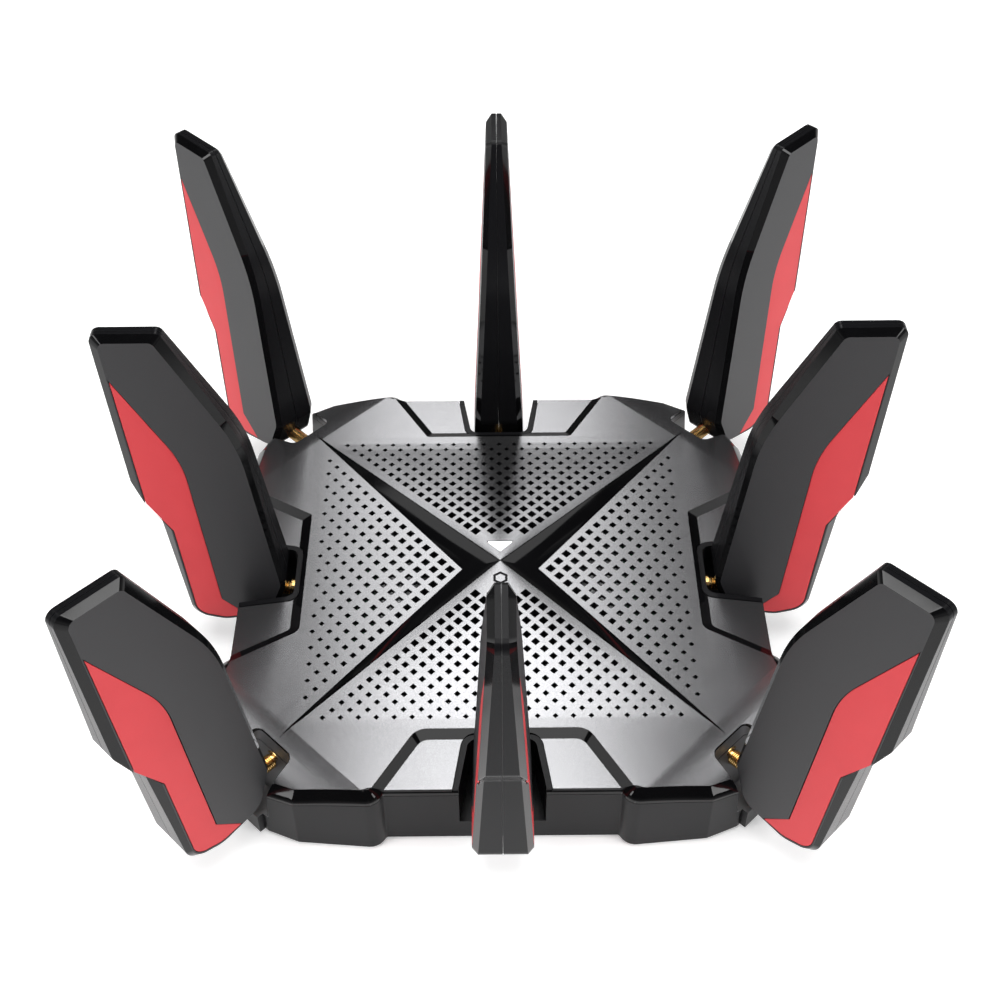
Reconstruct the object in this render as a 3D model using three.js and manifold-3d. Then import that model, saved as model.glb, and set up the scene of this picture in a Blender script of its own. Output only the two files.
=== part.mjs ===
// Eight-antenna wireless router: a low square body with an X-shaped gloss frame, four vented
// panels, and eight blade antennas that plug radially onto its sides and corners.
// Millimetres. +Z is up, the front faces -Y, and the origin is on the floor under the middle.

import * as THREE from 'three';
import { mergeVertices } from 'three/addons/utils/BufferGeometryUtils.js';
import Module from 'manifold-3d';

const wasm = await Module();
wasm.setup();

// ---- driving dimensions ----

const GAP = 0.3; // between pieces that touch
const SLIVER = 0.02; // cuts leave no edge shorter than this
const BODY_HALF = 120; // centre to the outer wall of a corner lobe
const CLIP_DIAGONAL = 152; // centre to the clipped corner wall, along the diagonal
const LEDGE_REACH = 114.4; // centre to the wall under a mid-side ledge
const LEDGE_HALF = 47; // half the width of that wall
const CASE_BOTTOM = 2.5;
const CASE_TOP = 31.2;
const WALL = 2.5;
const FRAME_BOTTOM = CASE_TOP + GAP;
const FRAME_SHELF = 34.6; // what the panels lie on
const RIM_BOTTOM = 33.9; // lower edge of the gloss chamfer
const CHAMFER = 4; // how far the chamfer runs inwards
const DECK = 36.9; // top of the flat panels
const PEAK = 42.6; // top of the front and back panels at the centre
const SLOPE_REACH = 82; // where that slope meets the flat deck
const LEDGE_TOP = 33.3;
const LEDGE_INNER = 90.5; // centre to the ledge's inner edge
const NOTCH_INNER = 86.5; // centre to the notch's upper inner edge
const NOTCH_HALF = 34.7; // half of that edge
const NOTCH_FLARE = 0.594; // sideways run of a notch's side, per millimetre outwards
const SIDE_APEX = 17; // set-back of the left and right panels' points
const POCKET_FLOOR = 13;
const POCKET_FLARE = 0.16; // how fast a pocket widens outwards
const SIDE_POCKET = { inner: 91, half: 13.5, outer: 118 };
const CORNER_POCKET = { inner: 129, half: 11, outer: 156 };
const CONNECTOR_HEIGHT = 26;
const BLADE_TOP = 174;
const BLADE_TIP_HALF = 4.6; // half of a blade's thickness at the top
const BLADE_TAPER = 0.05; // how fast that half grows downwards
const BLADE_BEVEL = 2.4;
const BLADE_WALL = 2;
const CORNER_OFFSET = 45.5; // a corner blade stands this much further out than a side blade
const INLAY_DEPTH = 1;
const BOARD_BOTTOM = 12;
const BOARD_TOP = 13.6;
const PORT_BOTTOM = BOARD_TOP + GAP;

// ---- helpers ----

// An outline from corners [x, y, radius, steps]: a corner with a radius becomes an arc.
function outline(corners) {
  const points = [];
  corners.forEach(([x, y, radius = 0, steps = 2], i) => {
    const corner = new THREE.Vector2(x, y);
    if (!radius) {
      points.push(corner);
      return;
    }
    const before = corners[(i + corners.length - 1) % corners.length];
    const after = corners[(i + 1) % corners.length];
    const back = new THREE.Vector2(before[0] - x, before[1] - y).normalize();
    const on = new THREE.Vector2(after[0] - x, after[1] - y).normalize();
    const half = Math.acos(THREE.MathUtils.clamp(back.dot(on), -1, 1)) / 2;
    const tangent = radius / Math.tan(half);
    const middle = back.clone().add(on).normalize();
    const centre = corner.clone().addScaledVector(middle, radius / Math.sin(half));
    const start = corner.clone().addScaledVector(back, tangent).sub(centre);
    const end = corner.clone().addScaledVector(on, tangent).sub(centre);
    const from = start.angle();
    const sweep = end.angle() - from;
    const turn = THREE.MathUtils.euclideanModulo(sweep + Math.PI, 2 * Math.PI) - Math.PI;
    for (let k = 0; k <= steps; k += 1) {
      const angle = from + (turn * k) / steps;
      const spoke = new THREE.Vector2(radius * Math.cos(angle), radius * Math.sin(angle));
      points.push(spoke.add(centre));
    }
  });
  return points;
}

// The outline moved outwards by a distance, or inwards if it is negative.
function grown(points, distance) {
  return points.map((point, i) => {
    const before = points[(i + points.length - 1) % points.length];
    const after = points[(i + 1) % points.length];
    const into = point.clone().sub(before).normalize();
    const out = after.clone().sub(point).normalize();
    const first = new THREE.Vector2(into.y, -into.x);
    const second = new THREE.Vector2(out.y, -out.x);
    const share = distance / (1 + first.dot(second));
    return point.clone().add(first.add(second).multiplyScalar(share));
  });
}

// A closed skin through rings of Vector3, all with the same number of points, lowest ring first.
function loft(rings) {
  const count = rings[0].length;
  const positions = rings.flat().flatMap((p) => [p.x, p.y, p.z]);
  const index = [];
  const plan = (points) => points.map((p) => new THREE.Vector2(p.x, p.y));
  const bottom = THREE.ShapeUtils.triangulateShape(plan(rings[0]), []);
  bottom.forEach(([a, b, c]) => index.push(a, c, b));
  const lid = THREE.ShapeUtils.triangulateShape(plan(rings[rings.length - 1]), []);
  const top = (rings.length - 1) * count;
  lid.forEach(([a, b, c]) => index.push(top + a, top + b, top + c));
  for (let r = 0; r + 1 < rings.length; r += 1) {
    for (let i = 0; i < count; i += 1) {
      const next = (i + 1) % count;
      const a = r * count + i;
      const b = r * count + next;
      index.push(a, b, b + count, a, b + count, a + count);
    }
  }
  const geometry = new THREE.BufferGeometry();
  geometry.setAttribute('position', new THREE.Float32BufferAttribute(positions, 3));
  geometry.setIndex(index);
  return geometry;
}

function ring(points, height) {
  return points.map((p) => new THREE.Vector3(p.x, p.y, typeof height === 'function' ? height(p) : height));
}

function prism(points, low, high) {
  return loft([ring(points, low), ring(points, high)]);
}

function solid(geometry) {
  const bare = geometry.clone();
  bare.deleteAttribute('normal');
  bare.deleteAttribute('uv');
  const merged = mergeVertices(bare, 1e-4);
  return new wasm.Manifold(new wasm.Mesh({
    numProp: 3,
    vertProperties: new Float32Array(merged.attributes.position.array),
    triVerts: new Uint32Array(merged.index.array),
  }));
}

function geometryOf(body) {
  const mesh = body.simplify(SLIVER).getMesh();
  const geometry = new THREE.BufferGeometry();
  geometry.setAttribute('position', new THREE.BufferAttribute(new Float32Array(mesh.vertProperties), 3));
  geometry.setIndex(new THREE.BufferAttribute(new Uint32Array(mesh.triVerts), 1));
  return geometry;
}

function block(width, depth, height, x, y, z) {
  return new THREE.BoxGeometry(width, depth, height).translate(x, y, z + height / 2);
}

// A round rod along +Y from y to y + length.
function rod(radius, length, x, y, z, sides = 16) {
  return new THREE.CylinderGeometry(radius, radius, length, sides).translate(x, y + length / 2, z);
}

const router = new THREE.Group();

function finish(color, roughness, metalness) {
  return new THREE.MeshStandardMaterial({ color, roughness, metalness });
}

const finishes = {
  caseBlack: finish(0x1d1d1f, 0.45, 0),
  glossBlack: finish(0x08080a, 0.08, 0),
  gunmetal: finish(0x77787c, 0.38, 0.55),
  bladeBlack: finish(0x2a2a2d, 0.5, 0),
  red: finish(0xd8343c, 0.5, 0),
  gold: finish(0xd9a441, 0.25, 1),
  light: finish(0xf4f8ff, 0.3, 0),
  board: finish(0x16321f, 0.6, 0),
  aluminium: finish(0xb4b6ba, 0.4, 1),
  portMetal: finish(0xa9abb0, 0.3, 1),
  portBlack: finish(0x121213, 0.5, 0),
  rubber: finish(0x151515, 0.9, 0),
};

function place(name, geometry, material, parent = router) {
  const mesh = new THREE.Mesh(geometry, material);
  mesh.name = name;
  parent.add(mesh);
  return mesh;
}

// ---- plan outlines ----

const quarterTurns = [0, 1, 2, 3].map((n) => (n * Math.PI) / 2);

// The body's wall: four lobed corners, and a shallow step back in the middle of each side.
function bodyOutline() {
  const cornerRun = CLIP_DIAGONAL * Math.SQRT2 - BODY_HALF;
  const side = outline([
    [-cornerRun, -BODY_HALF],
    [-LEDGE_HALF - 3.4, -BODY_HALF, 5, 3],
    [-LEDGE_HALF, -LEDGE_REACH],
    [LEDGE_HALF, -LEDGE_REACH],
    [LEDGE_HALF + 3.4, -BODY_HALF, 5, 3],
    [cornerRun, -BODY_HALF],
  ]);
  const centre = new THREE.Vector2();
  return quarterTurns.flatMap((angle) => side.map((p) => p.clone().rotateAround(centre, angle)));
}

// A pocket for a blade's foot, drawn along +X and open at its outer end.
function pocketOutline({ inner, half, outer }, margin = 0) {
  const from = inner - margin;
  const wide = half + margin;
  const far = wide + (outer - inner) * POCKET_FLARE;
  return outline([[from, wide, 4, 3], [from, -wide, 4, 3], [outer, -far], [outer, far]]);
}

// The step that a notch cuts, at any height between the ledge and the deck.
function notchOutline(height, margin = 0) {
  const rise = (height - LEDGE_TOP) / (DECK - LEDGE_TOP);
  const inner = THREE.MathUtils.lerp(LEDGE_INNER, NOTCH_INNER, rise) - margin;
  const half = THREE.MathUtils.lerp(NOTCH_HALF - 2.2, NOTCH_HALF, rise) + margin * 0.6;
  const outer = BODY_HALF + 12;
  const far = half + (outer - inner) * NOTCH_FLARE;
  return [
    new THREE.Vector2(-half, -inner),
    new THREE.Vector2(-far, -outer),
    new THREE.Vector2(far, -outer),
    new THREE.Vector2(half, -inner),
  ];
}

// One panel with its notch, seen from above, for the front side. The apex points to the centre.
function panelOutline(apex) {
  const pocket = pocketOutline(CORNER_POCKET);
  const pocketEnd = CORNER_POCKET.half + (CLIP_DIAGONAL - CHAMFER - CORNER_POCKET.inner) * POCKET_FLARE;
  const onDiagonal = (along, across) => [
    (-along + across) * Math.SQRT1_2,
    (-along - across) * Math.SQRT1_2,
  ];
  const inner = pocket[0].x + 0.02;
  const deckReach = BODY_HALF - CHAMFER;
  const rim = CLIP_DIAGONAL - CHAMFER;
  const left = [
    onDiagonal(CORNER_POCKET.inner, 0),
    onDiagonal(CORNER_POCKET.inner, CORNER_POCKET.half - 4),
    onDiagonal(inner + 4, CORNER_POCKET.half + 0.6),
    onDiagonal(rim, pocketEnd),
    [-(rim * Math.SQRT2 - deckReach), -deckReach],
    [-NOTCH_HALF - (deckReach - NOTCH_INNER) * NOTCH_FLARE, -deckReach, 8, 3],
    [-NOTCH_HALF, -NOTCH_INNER],
  ];
  const right = [...left].reverse().map(([x, ...rest]) => [-x, ...rest]);
  return outline([[0, -apex], ...left, ...right]);
}

// ---- housing ----

const wallOutline = bodyOutline();
const turned = (geometry, angle) => geometry.clone().rotateZ(angle);

function eachPocket(visit) {
  quarterTurns.forEach((angle) => {
    visit(SIDE_POCKET, angle);
    visit(CORNER_POCKET, angle + Math.PI / 4);
  });
}

function withoutPockets(body) {
  let cut = body;
  eachPocket((pocket, angle) => {
    cut = cut.subtract(solid(turned(prism(pocketOutline(pocket), POCKET_FLOOR, DECK + 10), angle)));
  });
  return cut;
}

const SOCKET_PITCH = 13.9; // between the two network sockets of one block
const SOCKET_BLOCK = { width: 27.8, depth: 16, height: 13.4, x: 68.7 };
const USB = { width: 14.4, depth: 17, height: 8, x: -28.8 };
const JACK = { width: 9.2, depth: 14, height: 11, x: 26 };
const BUTTON_HEIGHT = 20;
const buttons = {
  power_button: { x: 35.6, radius: 3.6, travel: 1.5 },
  pairing_button: { x: -41.5, radius: 3, travel: 1.2 },
};

const RESET_HOLE = { x: 43.2, radius: 1 };
// The part of the case that comes off with the ports.
const REAR_WALL = { half: 86, front: 111.8, low: 5.2 };

// The whole lower shell, before its rear wall is split off.
function lowerShell() {
  let body = solid(prism(wallOutline, CASE_BOTTOM, CASE_TOP));
  let hollow = solid(prism(grown(wallOutline, -WALL), CASE_BOTTOM + WALL, CASE_TOP + 1));
  eachPocket((pocket, angle) => {
    const tub = prism(pocketOutline(pocket, WALL), CASE_BOTTOM, CASE_TOP + 2);
    hollow = hollow.subtract(solid(turned(tub, angle)));
  });
  body = withoutPockets(body.subtract(hollow));
  const openings = [
    block(USB.width + 1, 12, USB.height + 1, USB.x, LEDGE_REACH, PORT_BOTTOM - 0.5),
    block(JACK.width + 1, 12, JACK.height + 1, JACK.x, LEDGE_REACH, PORT_BOTTOM - 0.5),
    ...[-1, 1].map((side) => {
      const { width, height, x } = SOCKET_BLOCK;
      return block(width + 1, 12, height + 1, side * x, BODY_HALF, PORT_BOTTOM - 0.5);
    }),
    ...Object.values(buttons).map(({ x, radius }) => (
      rod(radius + 0.4, 8, x, LEDGE_REACH - 5, BUTTON_HEIGHT)
    )),
    rod(RESET_HOLE.radius, 8, RESET_HOLE.x, LEDGE_REACH - 5, BUTTON_HEIGHT, 12),
  ];
  eachPocket(({ inner }, angle) => {
    const seat = new THREE.CylinderGeometry(3.4, 3.4, 8, 12).rotateZ(Math.PI / 2);
    openings.push(turned(seat.translate(inner - 1, 0, CONNECTOR_HEIGHT), angle));
  });
  openings.forEach((geometry) => {
    body = body.subtract(solid(geometry));
  });
  return body;
}

// The room that the rear wall takes, which a margin widens on the sides where it meets the case.
function rearRoom(margin) {
  const { half, front, low } = REAR_WALL;
  const depth = BODY_HALF + 5 - front;
  const middle = front + (depth - margin) / 2;
  return solid(block(2 * (half + margin), depth + margin, 40, 0, middle, low - margin));
}

const frontPanel = panelOutline(0);
const sidePanel = panelOutline(SIDE_APEX);
const panelOf = (n) => (n % 2 === 0 ? frontPanel : sidePanel);

// The block under a notch: its step and its ledge are one piece with the panel.
function ledgeBlock(margin) {
  const [a, , , d] = notchOutline(DECK, 1.5 + margin);
  const reach = LEDGE_REACH - 0.4 + margin;
  const far = LEDGE_HALF + 5.6 + margin;
  const points = [a, new THREE.Vector2(-far, -reach), new THREE.Vector2(far, -reach), d];
  return prism(points, FRAME_BOTTOM - margin, DECK + margin * 10);
}

function topFrame() {
  const low = ring(wallOutline, FRAME_BOTTOM);
  const rim = ring(wallOutline, RIM_BOTTOM);
  const high = ring(grown(wallOutline, -CHAMFER), DECK);
  let body = solid(loft([low, rim, high]));
  quarterTurns.forEach((angle, n) => {
    const panel = prism(grown(panelOf(n), GAP), FRAME_SHELF, DECK + 10);
    const open = outline([[0, -24], [-58, -78, 4], [58, -78, 4]]);
    body = body.subtract(solid(turned(panel, angle)));
    body = body.subtract(solid(turned(ledgeBlock(GAP), angle)));
    body = body.subtract(solid(turned(prism(open, 0, DECK + 10), angle)));
  });
  const armEnd = (CORNER_POCKET.inner - 1) * Math.SQRT1_2;
  [1, -1].forEach((side) => {
    const reach = side * armEnd;
    const arms = outline([[0, 0], [reach, -reach], [side * SIDE_APEX, 0], [reach, reach]]);
    const fit = grown(arms, -GAP * 1.4);
    const crest = ring(fit, (p) => (Math.abs(p.x) < SIDE_APEX / 2 ? PEAK - 0.4 : DECK - 0.2));
    body = body.add(solid(loft([ring(fit, FRAME_BOTTOM), crest])));
  });
  return geometryOf(withoutPockets(body));
}

const LIGHT = { tip: 6, base: 11.8, half: 5.4 };

function lightOutline(margin) {
  return grown(outline([[0, LIGHT.tip], [LIGHT.half, LIGHT.base], [-LIGHT.half, LIGHT.base]]), margin);
}

// Height of the sloping front and back panels over a point.
function slopeHeight(point) {
  return PEAK - ((PEAK - DECK) * Math.abs(point.y)) / SLOPE_REACH;
}

function panel(n) {
  let body = solid(prism(panelOf(n), FRAME_SHELF + GAP, DECK));
  if (n % 2 === 0) {
    const corners = [[0, 0], [-SLOPE_REACH, -SLOPE_REACH], [SLOPE_REACH, -SLOPE_REACH]];
    const wedge = grown(outline(corners), -0.05);
    body = body.add(solid(loft([ring(wedge, DECK - 0.5), ring(wedge, slopeHeight)])));
  }
  const cutter = loft([LEDGE_TOP, DECK, DECK + 3].map((z) => ring(notchOutline(z), z)));
  body = body.add(solid(ledgeBlock(0))).subtract(solid(cutter));
  const pocket = prism(pocketOutline(SIDE_POCKET, 0.2), 0, DECK + 10).rotateZ(-Math.PI / 2);
  body = body.subtract(solid(pocket));
  return turned(geometryOf(body), quarterTurns[n]);
}

const shell = lowerShell();
place('bottom_case', geometryOf(shell.subtract(rearRoom(GAP))), finishes.caseBlack);
place('rear_wall', geometryOf(shell.intersect(rearRoom(0))), finishes.caseBlack);
place('top_frame', topFrame(), finishes.glossBlack);
['front', 'right', 'back', 'left'].forEach((side, n) => {
  let geometry = panel(n);
  if (side === 'back') {
    geometry = geometryOf(solid(geometry).subtract(solid(prism(lightOutline(GAP), 30, 50))));
  }
  place(`${side}_panel`, geometry, finishes.gunmetal);
});
const lightPlan = lightOutline(0);
const lightGuide = loft([ring(lightPlan, FRAME_SHELF + 1), ring(lightPlan, slopeHeight)]);
place('status_light_guide', lightGuide, finishes.light);

// ---- inside the case ----

const BOARD_HALF = 82;
const boardOutline = outline([
  [-BOARD_HALF, -BOARD_HALF], [BOARD_HALF, -BOARD_HALF], [BOARD_HALF, BOARD_HALF],
  [76, BOARD_HALF], [76, 111], [24, 111], [24, BOARD_HALF],
  [-24, BOARD_HALF], [-24, 111], [-76, 111], [-76, BOARD_HALF], [-BOARD_HALF, BOARD_HALF],
]);
place('main_board', prism(boardOutline, BOARD_BOTTOM, BOARD_TOP), finishes.board);

// A finned plate over the processor and radio chips, drawn across and pushed along Y.
function heatSink() {
  const half = 56;
  const base = BOARD_TOP + 1.4;
  const fins = 9;
  const fin = 2;
  const step = (2 * half - fin) / (fins - 1);
  const corners = [[-half, base], [half, base]];
  for (let i = fins - 1; i >= 0; i -= 1) {
    const x = -half + i * step;
    corners.push([x + fin, base + 12], [x, base + 12]);
    if (i > 0) {
      corners.push([x, base + 3], [x - step + fin, base + 3]);
    }
  }
  const section = new THREE.Shape(outline(corners));
  const geometry = new THREE.ExtrudeGeometry(section, { depth: 104, bevelEnabled: false });
  return geometry.rotateX(Math.PI / 2).translate(0, 44, 0);
}
place('heat_sink', heatSink(), finishes.aluminium);

// ---- ports on the back ----

function socketBlock(side) {
  const { width, depth, height, x } = SOCKET_BLOCK;
  const front = BODY_HALF - 0.2;
  let body = solid(block(width, depth, height, side * x, front - depth / 2, PORT_BOTTOM));
  [-0.5, 0.5].forEach((offset) => {
    const centre = side * x + offset * SOCKET_PITCH;
    const mouth = block(11.7, 13, 8, centre, front - 5, PORT_BOTTOM + 3.6);
    const latch = block(4, 13, 3, centre, front - 5, PORT_BOTTOM + 1.4);
    body = body.subtract(solid(mouth)).subtract(solid(latch));
  });
  return geometryOf(body);
}
place('left_ethernet_block', socketBlock(-1), finishes.portMetal);
place('right_ethernet_block', socketBlock(1), finishes.portMetal);

function usbPort() {
  const { width, depth, height, x } = USB;
  const front = LEDGE_REACH + 0.4;
  const shell = solid(block(width, depth, height, x, front - depth / 2, PORT_BOTTOM));
  const mouth = solid(block(width - 1.6, 14, height - 1.6, x, front - 5, PORT_BOTTOM + 0.8));
  const tongue = solid(block(11, 14.5, 1.6, x, front - 8.5, PORT_BOTTOM + 5.4));
  return geometryOf(shell.subtract(mouth).add(tongue));
}
place('usb_port', usbPort(), finishes.portMetal);

function powerJack() {
  const { width, depth, height, x } = JACK;
  const front = LEDGE_REACH + 0.4;
  const height0 = PORT_BOTTOM + height / 2;
  const shell = solid(block(width, depth, height, x, front - depth / 2, PORT_BOTTOM));
  const bore = solid(rod(3.3, 11, x, front - 10, height0));
  const pin = solid(rod(1, 10.5, x, front - 11, height0, 8));
  return geometryOf(shell.subtract(bore).add(pin));
}
place('power_jack', powerJack(), finishes.portBlack);

// A round key with a collar behind the wall that stops it from falling out.
function button({ x, radius, travel }) {
  const proud = 1.2;
  const wallInside = LEDGE_REACH - WALL;
  const collar = rod(radius + 1, 1.4, x, wallInside - travel - 1.6, BUTTON_HEIGHT);
  const cap = rod(radius, WALL + travel + 0.4 + proud, x, wallInside - travel - 0.4, BUTTON_HEIGHT);
  return geometryOf(solid(collar).add(solid(cap)));
}
Object.entries(buttons).forEach(([name, spec]) => {
  place(name, button(spec), finishes.portBlack);
});

// ---- feet ----

const FOOT = { place: 84, radius: 9 };
['front_left', 'front_right', 'back_left', 'back_right'].forEach((corner) => {
  const x = corner.endsWith('left') ? -FOOT.place : FOOT.place;
  const y = corner.startsWith('front') ? -FOOT.place : FOOT.place;
  const { radius } = FOOT;
  const top = CASE_BOTTOM - GAP;
  const profile = [[0, 0], [radius - 0.8, 0], [radius, 0.8], [radius, top], [0, top]];
  const pad = new THREE.LatheGeometry(profile.map(([r, z]) => new THREE.Vector2(r, z)), 20);
  pad.rotateX(Math.PI / 2);
  place(`${corner}_foot`, pad.translate(x, y, 0), finishes.rubber);
});

// ---- antennas ----

// A blade is drawn with its distance from the middle along the first axis and its height
// along the second. The edge outline is the blade's rim, and the face outline its flat sides.
const edgeOutline = outline([
  [129, BLADE_TOP, 3, 2],
  [103.6, 119.9, 80, 4],
  [94.4, 38, 8, 2],
  [101, 20.5, 10, 2],
  [122, 16.5, 12, 1],
  [136.9, 20.5, 8, 3],
  [143.3, 83, 2, 1],
  [152.3, 99, 4, 1],
  [156.4, BLADE_TOP, 4, 2],
]);
const faceOutline = outline([
  [131.8, BLADE_TOP - 2.7, 3, 2],
  [105.5, 119.5, 75, 4],
  [96.3, 39.5, 7, 2],
  [103, 23, 9, 2],
  [122.5, 19, 11, 1],
  [135.3, 22.5, 8, 3],
  [139, 74, 2, 1],
  [148.2, 90.5, 3, 1],
  [152.9, BLADE_TOP - 2.7, 3, 2],
]);
const inlayOutline = outline([
  [151.1, 152.6],
  [129.2, 111.3, 50, 4],
  [123.2, 31.5],
  [113, 21.6],
  [122.5, 20.2, 9, 1],
  [134.5, 23.6, 7, 3],
  [138, 73.2],
  [147.2, 89.2],
]);

const halfThickness = (point) => BLADE_TIP_HALF + (BLADE_TOP - point.y) * BLADE_TAPER;

// Half of a blade: a tray that is open towards its twin.
function bladeHalf() {
  const seam = GAP / 2;
  const rim = ring(edgeOutline, (p) => halfThickness(p) - BLADE_BEVEL);
  const body = solid(loft([ring(edgeOutline, seam), rim, ring(faceOutline, halfThickness)]));
  const hollowOutline = grown(faceOutline, -BLADE_WALL);
  const insideHeight = (p) => halfThickness(p) - INLAY_DEPTH - BLADE_WALL;
  const hollow = loft([ring(hollowOutline, -1), ring(hollowOutline, insideHeight)]);
  const recessOutline = grown(inlayOutline, GAP);
  const recess = loft([
    ring(recessOutline, (p) => halfThickness(p) - INLAY_DEPTH),
    ring(recessOutline, (p) => halfThickness(p) + 2),
  ]);
  const socket = new THREE.CylinderGeometry(4, 4, 24, 16);
  socket.rotateZ(Math.PI / 2).translate(94, CONNECTOR_HEIGHT, 0);
  return body.subtract(solid(hollow)).subtract(solid(recess)).subtract(solid(socket));
}

function inlay() {
  return solid(loft([
    ring(inlayOutline, (p) => halfThickness(p) - INLAY_DEPTH + GAP),
    ring(inlayOutline, halfThickness),
  ]));
}

// The radio-frequency connector that a blade plugs onto: a nut, a groove and a threaded barrel.
function connector(inner, length) {
  const profile = [
    [0, 0], [3, 0], [3, 2.6], [4, 2.6], [4, 4.8], [2.7, 4.8], [2.7, 5.8], [3.2, 5.8],
    [3.2, length - 0.6], [2.6, length], [0, length],
  ];
  const barrel = new THREE.LatheGeometry(profile.map(([r, y]) => new THREE.Vector2(r, y)), 12);
  return barrel.rotateZ(-Math.PI / 2).translate(inner - 2.2, 0, CONNECTOR_HEIGHT);
}

const halfGeometry = geometryOf(bladeHalf());
const inlayGeometry = geometryOf(inlay());
const placesRound = [
  'right', 'back_right', 'back', 'back_left', 'left', 'front_left', 'front', 'front_right',
];

placesRound.forEach((where, n) => {
  const atCorner = n % 2 === 1;
  const direction = new THREE.Group();
  direction.rotation.z = (n * Math.PI) / 4;
  router.add(direction);

  const blade = new THREE.Group();
  blade.rotation.x = Math.PI / 2;
  blade.position.x = atCorner ? CORNER_OFFSET : 0;
  direction.add(blade);

  // The half that faces clockwise is the drawn one, and its twin is the mirror image.
  [['clockwise', 1], ['anticlockwise', -1]].forEach(([hand, side]) => {
    const mirror = (geometry) => {
      const copy = geometry.clone();
      if (side > 0) {
        return copy;
      }
      copy.scale(1, 1, -1);
      const flipped = copy.index.array;
      for (let i = 0; i < flipped.length; i += 3) {
        [flipped[i], flipped[i + 1]] = [flipped[i + 1], flipped[i]];
      }
      return copy;
    };
    place(`${where}_antenna_${hand}_half`, mirror(halfGeometry), finishes.bladeBlack, blade);
    place(`${where}_antenna_${hand}_inlay`, mirror(inlayGeometry), finishes.red, blade);
  });

  const pocket = atCorner ? CORNER_POCKET : SIDE_POCKET;
  const tip = 102 + (atCorner ? CORNER_OFFSET : 0);
  const plug = connector(pocket.inner, tip - pocket.inner + 2.2);
  place(`${where}_antenna_connector`, plug, finishes.gold, direction);
});

export default router;
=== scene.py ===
"""Wireless router: a low square body with a gloss X frame, four vented panels and eight blade antennas.

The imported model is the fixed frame. Each visible piece is rebuilt here with finer curves and finishes,
inside the box of the node that it stands for. Lengths in the tables are millimetres.
"""

import math

import bmesh
import bpy
from mathutils import Matrix, Vector


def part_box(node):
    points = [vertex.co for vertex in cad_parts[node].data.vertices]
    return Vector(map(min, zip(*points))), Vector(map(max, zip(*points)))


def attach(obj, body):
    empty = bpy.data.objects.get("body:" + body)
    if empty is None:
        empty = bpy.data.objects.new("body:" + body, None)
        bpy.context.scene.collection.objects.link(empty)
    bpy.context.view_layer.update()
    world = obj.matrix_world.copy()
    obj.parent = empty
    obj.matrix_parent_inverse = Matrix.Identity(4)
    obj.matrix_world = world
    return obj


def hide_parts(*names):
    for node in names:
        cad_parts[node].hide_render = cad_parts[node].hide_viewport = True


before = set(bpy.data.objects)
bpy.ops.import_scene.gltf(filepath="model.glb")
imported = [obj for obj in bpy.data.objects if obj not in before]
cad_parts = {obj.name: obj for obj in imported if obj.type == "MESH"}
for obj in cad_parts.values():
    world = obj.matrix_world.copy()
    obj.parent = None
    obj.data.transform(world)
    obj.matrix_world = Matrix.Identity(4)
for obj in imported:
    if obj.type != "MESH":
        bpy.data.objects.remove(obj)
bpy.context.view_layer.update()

MM = 0.001
GAP = 0.3 # between neighbouring pieces

# ---- driving dimensions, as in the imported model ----

BODY_HALF = 120.0
CORNER_END = (96.0, 111.5) # where the wall turns into the short diagonal wall
CORNER_BEND = (83.0, 117.0) # where the straight wall bends towards the corner
PANEL_TIP = (141.5, 13.0) # along and across the diagonal
DROOP = 5.5 # how far the deck sinks at a corner
DROOP_START = 121.0 # along the diagonal
DROOP_END = 146.0
DROOP_CUTS = range(int(DROOP_START), 151, 4) # where the deck is cut across, so that it can bend
DROOP_FOOT = 14.0 # height below which the wall doesn't move
DROOP_CURVE = 1.5
LEDGE_REACH = 115.0
LEDGE_HALF = 47.0
CASE_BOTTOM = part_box("bottom_case")[0].z / MM
CASE_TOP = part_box("bottom_case")[1].z / MM
WALL = 2.5
FRAME_BOTTOM = CASE_TOP + GAP
FRAME_SHELF = 34.6
RIM_BOTTOM = 33.9
CHAMFER = 4.0
DECK = 36.9
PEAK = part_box("front_panel")[1].z / MM
SLOPE_REACH = 82.0
LEDGE_TOP = 35.2
LEDGE_INNER = 90.9
NOTCH_INNER = 86.5
NOTCH_HALF = 34.7
NOTCH_FLARE = 0.594
NOTCH_SHRINK = 2.2 # how much narrower a notch is at the ledge than at the deck
SIDE_APEX = 17.0
POCKET_FLOOR = 13.0
POCKET_FLARE = 0.16
POCKET_SLOPE = 8.0 # how far a corner pocket's inner wall runs in, from the deck to the floor
SIDE_POCKET = {"inner": 91.0, "half": 13.5, "outer": 118.0}
CORNER_POCKET = {"inner": 129.0, "half": 11.0, "outer": 156.0}
CONNECTOR_HEIGHT = 26.0
BLADE_TOP = 174.0
BLADE_TIP_HALF = 4.6
BLADE_TAPER = 0.05
BLADE_BEVEL = 2.4
CORNER_OFFSET = 45.5
INLAY_DEPTH = 1.0
VENT_PITCH = 7.3
PLACES = ("right", "back_right", "back", "back_left", "left", "front_left", "front", "front_right")
SIDES = ("front", "right", "back", "left")


# ---- shader building ----

class Value:
    """A node socket; sums, differences, products, quotients and comparisons of it add Math nodes."""

    def __init__(self, finish, socket):
        self.finish = finish
        self.socket = socket

    def _math(self, operation, first, second):
        node = self.finish.node("ShaderNodeMath", {"operation": operation}, {0: first, 1: second})
        return Value(self.finish, node.outputs[0])

    def __add__(self, other):
        return self._math("ADD", self, other)

    def __radd__(self, other):
        return self._math("ADD", other, self)

    def __sub__(self, other):
        return self._math("SUBTRACT", self, other)

    def __mul__(self, other):
        return self._math("MULTIPLY", self, other)

    def __truediv__(self, other):
        return self._math("DIVIDE", self, other)

    def __gt__(self, other):
        return self._math("GREATER_THAN", self, other)


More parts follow.
